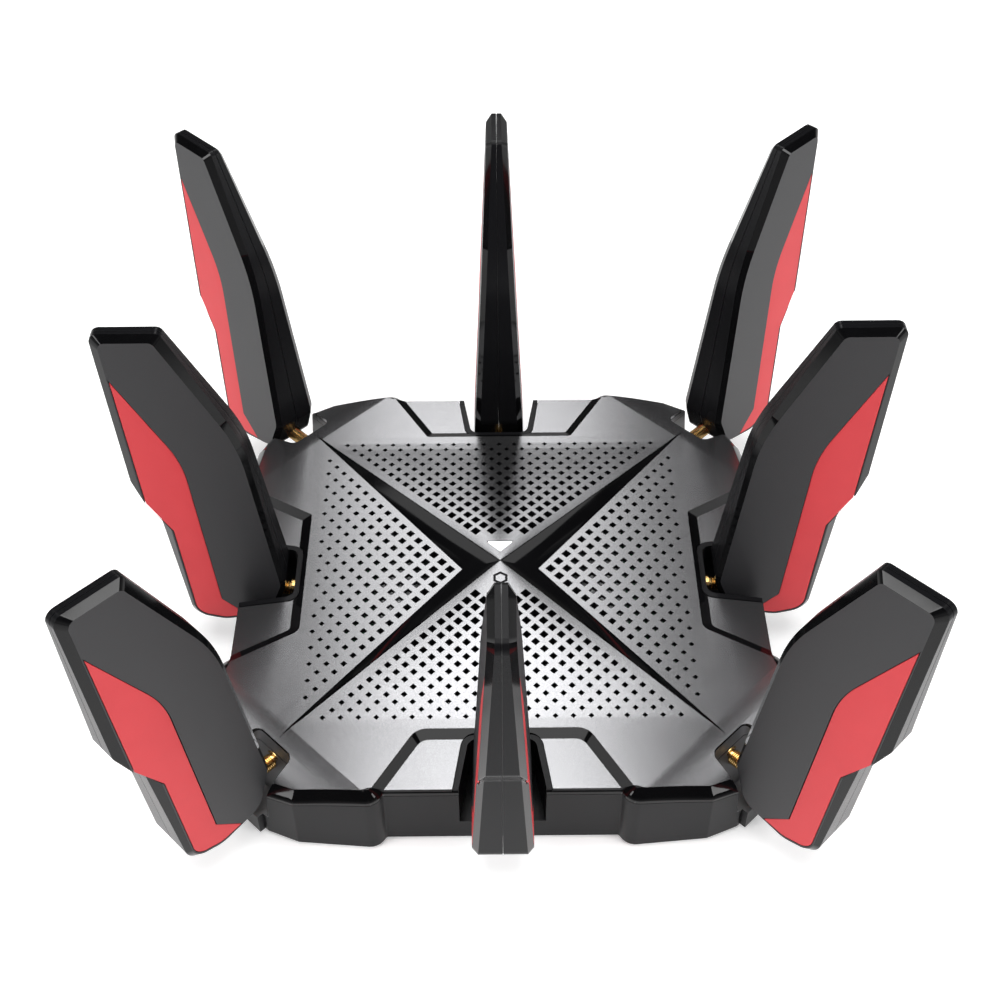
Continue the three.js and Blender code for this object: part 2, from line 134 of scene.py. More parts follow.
class NodeTree:
    """What materials and Geometry Nodes trees share: self.tree, and a way to add nodes to it."""

    def node(self, kind, settings=None, inputs=None):
        made = self.tree.nodes.new(kind)
        for name, value in (settings or {}).items():
            setattr(made, name, value)
        for name, value in (inputs or {}).items():
            if isinstance(value, Value):
                value = value.socket
            if isinstance(value, bpy.types.NodeSocket):
                self.tree.links.new(value, made.inputs[name])
            else:
                made.inputs[name].default_value = value
        return made


class Finish(NodeTree):
    """A material under construction: one Principled shader and the nodes that feed it."""

    def __init__(self, name, **uniform):
        self.material = bpy.data.materials.new(name)
        self.material.use_nodes = True
        self.tree = self.material.node_tree
        self.shader = self.tree.nodes["Principled BSDF"]
        for socket, value in uniform.items():
            self.shader.inputs[socket.replace("_", " ").title().replace("Ior", "IOR")].default_value = value
        self.place = self.node("ShaderNodeTexCoord").outputs["Object"]

    def noise(self, size, detail=2.0, roughness=0.5):
        """Noise from 0 to 1 with features of a size in millimetres."""
        inputs = {"Vector": self.place, "Scale": 1 / (size * MM), "Detail": detail, "Roughness": roughness}
        return Value(self, self.node("ShaderNodeTexNoise", {}, inputs).outputs["Fac"])

    def cells(self, size):
        inputs = {"Vector": self.place, "Scale": 1 / (size * MM)}
        return Value(self, self.node("ShaderNodeTexVoronoi", {}, inputs).outputs["Distance"])

    def between(self, value, low, high):
        """0 below low and 1 above high."""
        settings = {"interpolation_type": "SMOOTHSTEP"}
        inputs = {"Value": value, "From Min": low, "From Max": high}
        return Value(self, self.node("ShaderNodeMapRange", settings, inputs).outputs[0])

    def blend(self, share, first, second):
        """A colour between two colours."""
        made = self.node("ShaderNodeMix", {"data_type": "RGBA"})
        for index, value in ((6, first), (7, second)):
            if isinstance(value, bpy.types.NodeSocket):
                self.tree.links.new(value, made.inputs[index])
            else:
                made.inputs[index].default_value = (*value, 1)
        if isinstance(share, Value):
            self.tree.links.new(share.socket, made.inputs[0])
        else:
            made.inputs[0].default_value = share
        return made.outputs[2]

    def feed(self, socket, value):
        if isinstance(value, Value):
            value = value.socket
        self.tree.links.new(value, self.shader.inputs[socket])

    def bump(self, height, depth, strength=1.0):
        """Relief of a depth in millimetres."""
        inputs = {"Height": height, "Distance": depth * MM, "Strength": strength}
        self.feed("Normal", self.node("ShaderNodeBump", {}, inputs).outputs["Normal"])


def grained(name, size, detail, colours, roughness, spread, relief=0, patches=0, **uniform):
    """A finish that follows one grain, except that its roughness may vary in larger patches instead."""
    finish = Finish(name, **uniform)
    grain = finish.noise(size, detail)
    finish.feed("Base Color", finish.blend(grain, *colours))
    finish.feed("Roughness", roughness + (finish.noise(patches, 2) if patches else grain) * spread)
    if relief:
        finish.bump(grain, relief)
    return finish.material


def gunmetal_paint():
    """Satin metallic paint: fine flake, and a faint cloudiness."""
    finish = Finish("gunmetal_paint", metallic=0.9)
    flake = finish.cells(0.35)
    cloud = finish.noise(45, 3)
    shade = finish.blend(cloud, (0.14, 0.14, 0.144), (0.165, 0.165, 0.17))
    finish.feed("Base Color", finish.blend(finish.between(flake, 0.1, 0.9), shade, (0.21, 0.21, 0.216)))
    finish.feed("Roughness", 0.21 + finish.noise(9, 2) * 0.03)
    finish.bump(finish.noise(0.5, 2), 0.005)
    return finish.material


def gloss_plastic():
    """Piano-black plastic: near-mirror, with fine dust haze and faint moulding waviness."""
    finish = Finish("gloss_black_plastic", specular_ior_level=0.2)
    haze = finish.noise(18, 4)
    finish.feed("Base Color", finish.blend(haze, (0.002, 0.002, 0.0022), (0.004, 0.004, 0.0045)))
    finish.feed("Roughness", 0.05 + finish.between(haze, 0.35, 0.8) * 0.05)
    finish.bump(finish.noise(30, 1), 0.02, 0.6)
    return finish.material


def blade_plastic():
    """Charcoal plastic of the blades: spark-eroded grain with a soft sheen."""
    finish = Finish("blade_charcoal_plastic", specular_ior_level=0.4)
    grain = finish.noise(0.45, 3)
    cloud = finish.noise(60, 2)
    shade = finish.blend(cloud, (0.010, 0.010, 0.0112), (0.014, 0.014, 0.0155))
    finish.feed("Base Color", finish.blend(grain, shade, (0.018, 0.018, 0.02)))
    finish.feed("Roughness", 0.42 + grain * 0.1)
    finish.bump(grain, 0.03)
    return finish.material


def case_plastic():
    """Satin black plastic of the lower case."""
    finish = Finish("case_satin_plastic", specular_ior_level=0.14)
    grain = finish.noise(0.6, 3)
    finish.feed("Base Color", finish.blend(finish.noise(40, 2), (0.006, 0.006, 0.0068), (0.01, 0.01, 0.011)))
    finish.feed("Roughness", 0.3 + grain * 0.08)
    finish.bump(grain, 0.015)
    return finish.material


def pocket_plastic():
    """Dark grey satin lining of the antenna pockets."""
    return grained("pocket_satin_plastic", 0.5, 3, ((0.006, 0.006, 0.0068), (0.01, 0.01, 0.011)), 0.26, 0.08,
                   relief=0.012, patches=12, specular_ior_level=0.1)


def edge_plastic():
    """Darker, smoother plastic along the blades' narrow sides."""
    return grained("blade_edge_plastic", 0.45, 3, ((0.004, 0.004, 0.0046), (0.008, 0.008, 0.009)), 0.2, 0.1,
                   relief=0.012, patches=25, specular_ior_level=0.08)


def recess_plastic():
    """Lighter grey satin lining of the corner recesses."""
    return grained("recess_grey_plastic", 0.5, 3, ((0.085, 0.085, 0.09), (0.105, 0.105, 0.11)), 0.36, 0.08,
                   relief=0.012, specular_ior_level=0.5)


def red_plastic():
    """Matte red inlay: fine grain and a slight mottling."""
    finish = Finish("inlay_red_plastic", specular_ior_level=0.4)
    grain = finish.noise(0.5, 3)
    mottle = finish.noise(14, 3)
    shade = finish.blend(mottle, (0.50, 0.02, 0.028), (0.58, 0.03, 0.038))
    finish.feed("Base Color", finish.blend(grain * 0.3, shade, (0.62, 0.05, 0.06)))
    finish.feed("Roughness", 0.46 + grain * 0.1)
    finish.bump(grain, 0.02)
    return finish.material


def gold_plate():
    """Gold-plated brass with turning marks round the barrel."""
    finish = Finish("gold_plate", metallic=1.0)
    rings = finish.noise(0.9, 4)
    finish.feed("Base Color", finish.blend(rings, (0.86, 0.50, 0.16), (0.98, 0.70, 0.30)))
    finish.feed("Roughness", 0.16 + rings * 0.12)
    finish.bump(finish.noise(0.35, 2), 0.01)
    return finish.material


def nickel_plate():
    finish = Finish("nickel_plate", metallic=1.0)
    streak = finish.node("ShaderNodeMapping", {}, {"Vector": finish.place, "Scale": (400, 40, 2500)})
    grain = finish.node("ShaderNodeTexNoise", {}, {"Vector": streak.outputs[0], "Scale": 1.0, "Detail": 3.0})
    lines = Value(finish, grain.outputs["Fac"])
    finish.feed("Base Color", finish.blend(lines, (0.42, 0.42, 0.43), (0.62, 0.62, 0.63)))
    finish.feed("Roughness", 0.22 + lines * 0.16)
    finish.bump(lines, 0.008)
    return finish.material


def fin_aluminium():
    return grained("fin_aluminium", 0.8, 4, ((0.55, 0.55, 0.56), (0.72, 0.72, 0.73)), 0.32, 0.14,
                   relief=0.01, metallic=1.0)


def solder_mask():
    """Green board with darker copper areas under the mask."""
    finish = Finish("solder_mask", coat_weight=0.4, coat_roughness=0.2)
    tracks = finish.between(finish.cells(4.5), 0.35, 0.42)
    finish.feed("Base Color", finish.blend(tracks, (0.010, 0.055, 0.025), (0.02, 0.10, 0.05)))
    finish.feed("Roughness", 0.36 + tracks * 0.12)
    finish.bump(tracks, 0.03)
    return finish.material


def foot_rubber():
    finish = Finish("foot_rubber", specular_ior_level=0.3)
    dust = finish.noise(3, 4)
    finish.feed("Base Color", finish.blend(dust, (0.012, 0.012, 0.012), (0.028, 0.027, 0.026)))
    finish.feed("Roughness", 0.75 + dust * 0.15)
    finish.bump(finish.noise(0.7, 3), 0.04)
    return finish.material


def key_plastic():
    return grained("key_black_plastic", 0.4, 3, ((0.012, 0.012, 0.013), (0.022, 0.022, 0.023)), 0.34, 0.12,
                   relief=0.02, specular_ior_level=0.5)


def light_glow():
    """Lit translucent plastic, its glow and tint varying a little."""
    finish = Finish("status_light_glow", roughness=0.3, emission_strength=2.6)
    glow = finish.noise(4, 1)
    finish.feed("Emission Color", finish.blend(glow, (0.92, 0.96, 1.0), (1.0, 1.0, 1.0)))
    finish.feed("Base Color", finish.blend(glow, (0.85, 0.88, 0.92), (0.95, 0.96, 0.98)))
    return finish.material


def emblem_print():
    return grained("emblem_grey_print", 0.5, 2, ((0.004, 0.004, 0.0045), (0.007, 0.007, 0.008)), 0.4, 0.1,
                   specular_ior_level=0.1)


def contact_gold():
    return grained("contact_gold", 0.5, 2, ((0.80, 0.52, 0.20), (0.92, 0.66, 0.30)), 0.2, 0.1, metallic=1.0)


def screw_steel():
    return grained("screw_black_steel", 0.5, 3, ((0.05, 0.05, 0.052), (0.10, 0.10, 0.105)), 0.35, 0.15,
                   relief=0.01, metallic=0.9)


gunmetal = gunmetal_paint()
gloss_black = gloss_plastic()
charcoal = blade_plastic()
satin_black = case_plastic()
pocket_black = pocket_plastic()
edge_black = edge_plastic()
recess_grey = recess_plastic()
red = red_plastic()
gold = gold_plate()
nickel = nickel_plate()
aluminium = fin_aluminium()
board_green = solder_mask()
rubber = foot_rubber()
key_black = key_plastic()
glow = light_glow()
print_grey = emblem_print()
pin_gold = contact_gold()
screw_black = screw_steel()


# ---- outlines and skins ----

def outline(corners, finer=4):
    """Points from corners (x, y, radius, steps): a corner with a radius becomes an arc."""
    points = []
    for index, corner in enumerate(corners):
        here = Vector(corner[:2])
        radius = corner[2] if len(corner) > 2 else 0
        if not radius:
            points.append(here)
            continue
        steps = (corner[3] if len(corner) > 3 else 2) * finer
        back = (Vector(corners[index - 1][:2]) - here).normalized()
        ahead = (Vector(corners[(index + 1) % len(corners)][:2]) - here).normalized()
        half = math.acos(max(-1, min(1, back.dot(ahead)))) / 2
        centre = here + (back + ahead).normalized() * (radius / math.sin(half))
        start = here + back * (radius / math.tan(half)) - centre
        end = here + ahead * (radius / math.tan(half)) - centre
        first = math.atan2(start.y, start.x)
        turn = (math.atan2(end.y, end.x) - first + math.pi) % (2 * math.pi) - math.pi
        for step in range(steps + 1):
            angle = first + turn * step / steps
            points.append(centre + Vector((math.cos(angle), math.sin(angle))) * radius)
    return points


def grown(points, distance):
    """The outline moved outwards, or inwards by a negative distance."""
    moved = []
    for index, point in enumerate(points):
        before = (point - points[index - 1]).normalized()
        after = (points[(index + 1) % len(points)] - point).normalized()
        first = Vector((before.y, -before.x))
        second = Vector((after.y, -after.x))
        moved.append(point + (first + second) * (distance / (1 + first.dot(second))))
    return moved


def ring(points, height):
    """The outline as 3-D points, at one height or at a height worked out for each point."""
    return [Vector((p.x, p.y, height(p) if callable(height) else height)) for p in points]


class Skin:
    """A mesh under construction, in millimetres."""

    def __init__(self):
        self.mesh = bmesh.new()
        self.materials = []

    def finish_index(self, material):
        if material not in self.materials:
            self.materials.append(material)
        return self.materials.index(material)

    def loft(self, rings, materials):
        """A closed skin through rings with equal counts. materials: bottom lid, each band, top lid."""
        mesh = self.mesh
        rows = [[mesh.verts.new(p) for p in points] for points in rings]
        made = [(mesh.faces.new(rows[0][::-1]), materials[0])]
        for band, (low, high) in enumerate(zip(rows, rows[1:])):
            count = len(low)
            for i in range(count):
                j = (i + 1) % count
                made.append((mesh.faces.new((low[i], low[j], high[j], high[i])), materials[band + 1]))
        made.append((mesh.faces.new(rows[-1]), materials[-1]))
        for face, material in made:
            face.material_index = self.finish_index(material)
        return self

    def lathe(self, profile, sides, material, matrix):
        """A turned piece from (radius, height) steps; its first and last radii are 0."""
        mesh = self.mesh
        rows = []
        for radius, height in profile:
            if radius == 0:
                rows.append([mesh.verts.new(matrix @ Vector((0, 0, height)))])
                continue
            angles = [2 * math.pi * k / sides for k in range(sides)]
            rows.append([mesh.verts.new(matrix @ Vector((radius * math.cos(a), radius * math.sin(a), height)))
                         for a in angles])
        index = self.finish_index(material)
        for low, high in zip(rows, rows[1:]):
            for i in range(sides):
                j = (i + 1) % sides
                corners = (low[0], high[j], high[i]) if len(low) == 1 else (
                    (low[i], low[j], high[0]) if len(high) == 1 else (low[i], low[j], high[j], high[i]))
                mesh.faces.new(corners).material_index = index
        return self

    def box(self, size, centre, material):
        """A block with a given centre."""
        half = Vector(size) / 2
        plan = outline([(-half.x, -half.y), (half.x, -half.y), (half.x, half.y), (-half.x, half.y)])
        at = Vector(centre)
        low = [p + at for p in ring(plan, -half.z)]
        high = [p + at for p in ring(plan, half.z)]
        return self.loft([low, high], [material] * 3)

    def prism(self, points, low, high, material):
        return self.loft([ring(points, low), ring(points, high)], [material] * 3)

    def turn(self, matrix):
        bmesh.ops.transform(self.mesh, matrix=matrix, verts=self.mesh.verts)
        if matrix.determinant() < 0:
            bmesh.ops.reverse_faces(self.mesh, faces=self.mesh.faces)
        return self

    def object(self, name):
        bmesh.ops.scale(self.mesh, vec=(MM, MM, MM), verts=self.mesh.verts)
        bmesh.ops.triangulate(self.mesh, faces=[f for f in self.mesh.faces if len(f.verts) > 4])
        data = bpy.data.meshes.new(name)
        self.mesh.to_mesh(data)
        self.mesh.free()
        for material in self.materials:
            data.materials.append(material)
        return scene_object(name, data)


def scene_object(name, data):
    """A new object in the scene."""
    made = bpy.data.objects.new(name, data)
    bpy.context.scene.collection.objects.link(made)
    return made


def evaluated(piece):
    """The piece with its modifiers applied to the mesh and removed."""
    bpy.context.view_layer.update()
    graph = bpy.context.evaluated_depsgraph_get()
    data = bpy.data.meshes.new_from_object(piece.evaluated_get(graph))
    piece.modifiers.clear()
    piece.data = data
    return piece


def combine(piece, operation, tools):
    """Cuts the tools out of a piece, or joins them to it, and deletes them."""
    for tool in tools:
        for material in tool.data.materials:
            if material and material.name not in piece.data.materials:
                piece.data.materials.append(material)
    for tool in tools:
        cut = piece.modifiers.new("cut", "BOOLEAN")
        cut.operation = operation
        cut.solver = "MANIFOLD"
        cut.material_mode = "TRANSFER"
        cut.object = tool
    evaluated(piece)
    for tool in tools:
        bpy.data.objects.remove(tool)
    return piece


def mount(piece, body, nodes=()):
    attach(piece, body)
    if nodes:
        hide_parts(*nodes)
    return piece


# ---- plans of the body ----

def body_outline():
    side = [
        (-CORNER_END[0], -CORNER_END[1], 2, 2), (-CORNER_BEND[0], -CORNER_BEND[1], 3, 2),
        (-LEDGE_HALF - 3.4, -BODY_HALF, 7, 4), (-LEDGE_HALF, -LEDGE_REACH, 1, 1),
        (LEDGE_HALF, -LEDGE_REACH, 1, 1), (LEDGE_HALF + 3.4, -BODY_HALF, 7, 4),
        (CORNER_BEND[0], -CORNER_BEND[1], 3, 2), (CORNER_END[0], -CORNER_END[1], 2, 2),
    ]
    corners = []
    for quarter in range(4):
        turn = Matrix.Rotation(quarter * math.pi / 2, 2)
        corners += [(*(turn @ Vector(corner[:2])), *(corner[2:] or (2.5, 1))) for corner in side]
    return outline(corners)


def pocket_outline(pocket, margin=0.0, radius=4.0):
    start = pocket["inner"] - margin
    half = pocket["half"] + margin
    far = half + (pocket["outer"] - pocket["inner"]) * POCKET_FLARE
    return outline([(start, half, radius, 3), (start, -half, radius, 3),
                    (pocket["outer"], -far), (pocket["outer"], far)])


def on_diagonal(along, across):
    return ((-along + across) * math.sqrt(0.5), (-along - across) * math.sqrt(0.5))


def panel_outline(apex):
    """One panel from above, for the front side, with room for its notch and its corner pockets."""
    reach = BODY_HALF - CHAMFER
    inner = CORNER_POCKET["inner"]
    notch_end = NOTCH_HALF + (reach - NOTCH_INNER) * NOTCH_FLARE
    left = [
        on_diagonal(inner, 0),
        (*on_diagonal(inner, CORNER_POCKET["half"]), 4, 4),
        on_diagonal(PANEL_TIP[0], PANEL_TIP[1]),
        (-CORNER_BEND[0] + 1.1, -CORNER_BEND[1] + 3.9, 3, 2),
        (-notch_end, -reach, 8, 3),
        (-NOTCH_HALF, -NOTCH_INNER),
    ]
    right = [(-corner[0], *corner[1:]) for corner in reversed(left)]
    return outline([(0, -apex), *left, *right])


def notch_outline(height, margin, radii):
    """The step cut by a notch at a height between the ledge and the deck. radii: left and right corner."""
    rise = (height - LEDGE_TOP) / (DECK - LEDGE_TOP)
    inner = LEDGE_INNER + (NOTCH_INNER - LEDGE_INNER) * rise - margin
    shrink = NOTCH_SHRINK * (1 - rise)
    half = NOTCH_HALF - shrink + margin * 0.6
    outer = BODY_HALF + 12
    far = half + (outer - inner) * NOTCH_FLARE
    left, right = (max(0.4, radius - shrink) for radius in radii)
    return outline([(-half, -inner, left, 2), (-far, -outer), (far, -outer), (half, -inner, right, 2)])


CROWN = 0.8 # most that the front and back panels bulge
CROWN_SCALE = 6.75 # the bulge's curve, share * (1 - share) ** 2, is at most 1 / 6.75
SLOPE_EASE = 0.05 # how gently their slope runs out, as a share of its length


def deck_height(x, y):
    """Height of the front and back panels, which rise to the centre and are crowned across."""
    reach = abs(y)
    if reach < 1e-6:
        return PEAK
    share = reach / SLOPE_REACH
    fall = 1 - share
    if share > 1 - SLOPE_EASE:
        fall = max(0, 1 + SLOPE_EASE - share) ** 2 / (4 * SLOPE_EASE)
    bulge = CROWN * CROWN_SCALE * share * max(0, 1 - share) ** 2 * (1 - (x / reach) ** 2)
    return DECK + (PEAK - DECK) * fall + max(0, bulge)


# ---- repeated features, by Geometry Nodes ----

class Repeat(NodeTree):
    """A Geometry Nodes tree with named inputs, run once and turned into a plain mesh."""

    def __init__(self, name, **inputs):
        self.tree = bpy.data.node_groups.new(name, "GeometryNodeTree")
        self.inputs = inputs
        face = self.tree.interface
        face.new_socket("Geometry", in_out="OUTPUT", socket_type="NodeSocketGeometry")
        self.sockets = {}
        for label, value in inputs.items():
            kind = "NodeSocketInt" if isinstance(value, int) else "NodeSocketFloat"
            self.sockets[label] = face.new_socket(label, in_out="INPUT", socket_type=kind)
        self.entry = self.tree.nodes.new("NodeGroupInput")

    def __getitem__(self, label):
        return Value(self, self.entry.outputs[label])

    def floor(self, value):
        return Value(self, self.node("ShaderNodeMath", {"operation": "FLOOR"}, {0: value}).outputs[0])

    def vector(self, x, y, z):
        return self.node("ShaderNodeCombineXYZ", {}, {0: x, 1: y, 2: z}).outputs[0]

    def index(self):
        return Value(self, self.node("GeometryNodeInputIndex").outputs[0])

    def run(self, name, points, shape, material, scale=None, selection=None):
        """Puts the shape on the points and gives the mesh as an object."""
        inputs = {"Points": points, "Instance": shape}
        if scale is not None:
            inputs["Scale"] = scale
        if selection is not None:
            inputs["Selection"] = selection
        placed = self.node("GeometryNodeInstanceOnPoints", {}, inputs)
        real = self.node("GeometryNodeRealizeInstances", {}, {"Geometry": placed.outputs[0]})
        done = self.node("GeometryNodeSetMaterial", {}, {"Geometry": real.outputs[0], "Material": material})
        self.node("NodeGroupOutput", {}, {0: done.outputs[0]})
        made = scene_object(name, bpy.data.meshes.new(name))
        modifier = made.modifiers.new("repeat", "NODES")
        modifier.node_group = self.tree
        for label, value in self.inputs.items():
            modifier[self.sockets[label].identifier] = value
        evaluated(made)
        made.data.materials.clear()
        made.data.materials.append(material)
        return made


def vent_cutters(columns, rows, pitch):
    """Diamond posts in staggered rows that shorten and coarsen towards the apex, for the front side."""
    field = Repeat("vent_field", Columns=columns, Rows=rows, Pitch=pitch * MM, Step=VENT_PITCH / 2 * MM,
                   Outer=80.8 * MM, Small=2.5 * MM, Large=5.0 * MM, Middle=38 * MM, Depth=20 * MM)
    index = field.index()
    row = field.floor(index / field["Columns"])
    column = index - row * field["Columns"]
    across = (column - (field["Columns"] - row - 1) / 2) * field["Pitch"]
    outwards = row * field["Step"] - field["Outer"]
    points = field.node("GeometryNodePoints", {}, {
        "Count": field["Columns"] * field["Rows"],
        "Position": field.vector(across, outwards, field["Middle"]),
    })
    post = field.node("GeometryNodeMeshCylinder", {}, {"Vertices": 4, "Radius": 0.5, "Depth": 1.0})
    size = field["Small"] + (field["Large"] - field["Small"]) * row / (field["Rows"] - 1)
    shown = (field["Columns"] - row) > column
    return field.run("vent_cutters", points.outputs[0], post.outputs["Mesh"], satin_black,
                     field.vector(size, size, field["Depth"]), shown)


def row_of_blocks(name, count, start, step, size, material):
    """Equal blocks in a straight row, from the first one's centre."""
    row = Repeat(name, Count=count, StartX=start[0] * MM, StartY=start[1] * MM, StartZ=start[2] * MM,
                 StepX=step[0] * MM, StepY=step[1] * MM, Width=size[0] * MM, Depth=size[1] * MM,
                 Height=size[2] * MM)
    line = row.node("GeometryNodeMeshLine", {"mode": "OFFSET"}, {
        "Count": row["Count"],
        "Start Location": row.vector(row["StartX"], row["StartY"], row["StartZ"]),
        "Offset": row.vector(row["StepX"], row["StepY"], 0.0),
    })
    size = row.vector(row["Width"], row["Depth"], row["Height"])
    block = row.node("GeometryNodeMeshCube", {}, {"Size": size})
    return row.run(name, line.outputs[0], block.outputs["Mesh"], material)


# ---- housing ----

wall_plan = body_outline()


def settled(piece):
    """Bends the four corners of a housing piece down, more towards the top of the wall."""
    mesh = bmesh.new()
    mesh.from_mesh(piece.data)
    for quarter in range(4):
        way = Vector((math.sqrt(0.5), math.sqrt(0.5), 0))
        way.rotate(Matrix.Rotation(quarter * math.pi / 2, 3, "Z"))
        for along in DROOP_CUTS:
            geometry = mesh.verts[:] + mesh.edges[:] + mesh.faces[:]
            bmesh.ops.bisect_plane(mesh, geom=geometry, plane_co=way * along * MM, plane_no=way)
    for vertex in mesh.verts:
        x, y, z = vertex.co / MM
        share = max(0, (abs(x) + abs(y)) * math.sqrt(0.5) - DROOP_START) / (DROOP_END - DROOP_START)
        level = min(1, max(0, (z - DROOP_FOOT) / (DECK - DROOP_FOOT)))
        vertex.co.z -= DROOP * share ** DROOP_CURVE * level * MM
    mesh.to_mesh(piece.data)
    mesh.free()
    return piece


def quarter_turn(quarter, offset=0.0):
    return Matrix.Rotation(quarter * math.pi / 2 + offset, 4, "Z")


def pocket_cutters(low=POCKET_FLOOR, margin=0.0):
    """The hollows for the eight blade feet."""
    cutters = []
    for quarter in range(4):
        for pocket, offset, lining in ((SIDE_POCKET, 0, pocket_black),
                                       (CORNER_POCKET, math.pi / 4, recess_grey)):
            foot = dict(pocket, inner=pocket["inner"] + (POCKET_SLOPE if offset and not margin else 0))
            rings = [ring(pocket_outline(foot, margin), low), ring(pocket_outline(pocket, margin), DECK),
                     ring(pocket_outline(pocket, margin), DECK + 10)]
            skin = Skin().loft(rings, [lining] * 4)
            cutters.append(skin.turn(quarter_turn(quarter, offset)).object("pocket"))
    return cutters


BUTTONS = {"power_button": (35.6, 3.6), "pairing_button": (-41.5, 3.0)}
RESET_HOLE = (43.2, 0.6)
REAR_WALL = {"half": 86.0, "front": 111.8, "low": 5.2}
REAR_ROOM_END = 130.0 # behind the body
REAR_ROOM_TOP = 60.0 # above the case
BUTTON_HEIGHT = 20.0
BACK = Matrix.Rotation(-math.pi / 2, 4, "X")


def port_cutters():
    """Openings in the back wall for the sockets and keys, a little larger than what they hold."""
    cutters = []
    for node in ("left_ethernet_block", "right_ethernet_block", "usb_port", "power_jack"):
        low, high = (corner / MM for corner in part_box(node))
        size = Vector((high.x - low.x + 1, 12, high.z - low.z + 1))
        centre = Vector(((low.x + high.x) / 2, high.y, (low.z + high.z) / 2))
        cutters.append(Skin().box(size, centre, satin_black).object("port_cut"))
    for x, radius in (*BUTTONS.values(), RESET_HOLE):
        profile = [(0, 0), (radius + 0.4, 0), (radius + 0.4, 8), (0, 8)]
        at = Matrix.Translation((x, LEDGE_REACH - 5, BUTTON_HEIGHT)) @ BACK
        cutters.append(Skin().lathe(profile, 32, satin_black, at).object("key_cut"))
    return cutters


def rear_room(margin):
    """The box that the back wall is parted from the lower shell by."""
    low = REAR_WALL["low"] - margin
    front = REAR_WALL["front"] - margin
    size = ((REAR_WALL["half"] + margin) * 2, REAR_ROOM_END - front, REAR_ROOM_TOP - low)
    middle = (0, (REAR_ROOM_END + front) / 2, (REAR_ROOM_TOP + low) / 2)
    return Skin().box(size, middle, satin_black).object("rear_room")


def housing_piece(piece, name, node):
    piece.name = name
    rounded(piece, 0.35)
    return mount(shaded(settled(piece)), "housing", [node])


def lower_case():
    """The lower shell with its pockets and vent slots, and the back wall that is parted from it."""
    rise = [(-1.0, CASE_BOTTOM - 1.2), (-0.3, CASE_BOTTOM - 0.9), (0, CASE_BOTTOM - 0.2), (0, CASE_TOP)]
    rings = [ring(grown(wall_plan, offset), height) for offset, height in rise]
    case = Skin().loft(rings, [satin_black] * 5).object("bottom_case_shell")
    hollow = Skin().prism(grown(wall_plan, -WALL), CASE_BOTTOM + WALL, CASE_TOP + 1, satin_black)
    tubs = pocket_cutters(CASE_BOTTOM, WALL)
    hollow = combine(hollow.object("hollow"), "DIFFERENCE", tubs)
    case = combine(case, "DIFFERENCE", [hollow])
    combine(case, "UNION", [pocket_lip(quarter) for quarter in range(4)])
    combine(case, "UNION", [corner_toe(quarter) for quarter in range(4)])
    combine(case, "DIFFERENCE", pocket_cutters() + port_cutters())
    seats = []
    for place in range(8):
        inner = (CORNER_POCKET if place % 2 else SIDE_POCKET)["inner"]
        spoke = Matrix.Rotation(place * math.pi / 4, 4, "Z")
        at = spoke @ Matrix.Translation((inner - 5, 0, CONNECTOR_HEIGHT))
        profile = [(0, 0), (3.4, 0), (3.4, 8), (0, 8)]
        seats.append(Skin().lathe(profile, 32, pocket_black, at @ Matrix.Rotation(math.pi / 2, 4, "Y"))
                     .object("seat"))
    combine(case, "DIFFERENCE", seats + underside_slots())
    wall = scene_object("rear_wall_shell", case.data.copy())
    combine(wall, "INTERSECT", [rear_room(0)])
    combine(case, "DIFFERENCE", [rear_room(GAP)])
    housing_piece(case, "bottom_case_shell", "bottom_case")
    housing_piece(wall, "rear_wall_shell", "rear_wall")


LIP_WIDTH = 2.2
TOE_LENGTH = 10.0
TOE_WIDTH = 19.0
TOE_ALONG = 144.5 # its middle, along the diagonal


def pocket_lip(quarter):
    """A raised lip along the three sides of a side pocket."""
    plan = [p for p in pocket_outline(SIDE_POCKET, LIP_WIDTH, 5.5) if p.x < SIDE_POCKET["outer"] - 1]
    reach = LEDGE_REACH - 0.6
    half = SIDE_POCKET["half"] + LIP_WIDTH + (reach - SIDE_POCKET["inner"]) * POCKET_FLARE
    plan += [Vector((reach, -half)), Vector((reach, half))]
    skin = Skin().prism(plan, CASE_TOP - 1, LEDGE_TOP + 0.3, pocket_black)
    return skin.turn(quarter_turn(quarter)).object("lip")


def corner_toe(quarter):
    """The low end of a corner pocket's floor, which runs out under the blade."""
    top = POCKET_FLOOR + 1
    size = (TOE_LENGTH, TOE_WIDTH, top - CASE_BOTTOM)
    skin = Skin().box(size, (TOE_ALONG, 0, (top + CASE_BOTTOM) / 2), satin_black)
    return skin.turn(quarter_turn(quarter, math.pi / 4)).object("toe")


def underside_slots():
    """Vent slots in the floor of the case, in two fields."""
    fields = []
    for side in (-1, 1):
        start = (side * 34, -47.5, CASE_BOTTOM + 1)
        fields.append(row_of_blocks("underside_slots", 20, start, (0, 5), (44, 2, 6), satin_black))
    return fields


def rounded(piece, width, segments=2, angle=32):
    """Cleans a mesh and rounds its sharp edges, as moulded plastic and stamped metal are."""
    mesh = bmesh.new()
    mesh.from_mesh(piece.data)
    bmesh.ops.remove_doubles(mesh, verts=mesh.verts, dist=0.004 * MM)
    bmesh.ops.dissolve_limit(mesh, angle_limit=math.radians(0.3), verts=mesh.verts, edges=mesh.edges,
                             delimit={"MATERIAL"})
    mesh.to_mesh(piece.data)
    mesh.free()
    bevel = piece.modifiers.new("round", "BEVEL")
    bevel.width = width * MM
    bevel.segments = segments
    bevel.limit_method = "ANGLE"
    bevel.angle_limit = math.radians(angle)
    bevel.use_clamp_overlap = True
    return evaluated(piece)


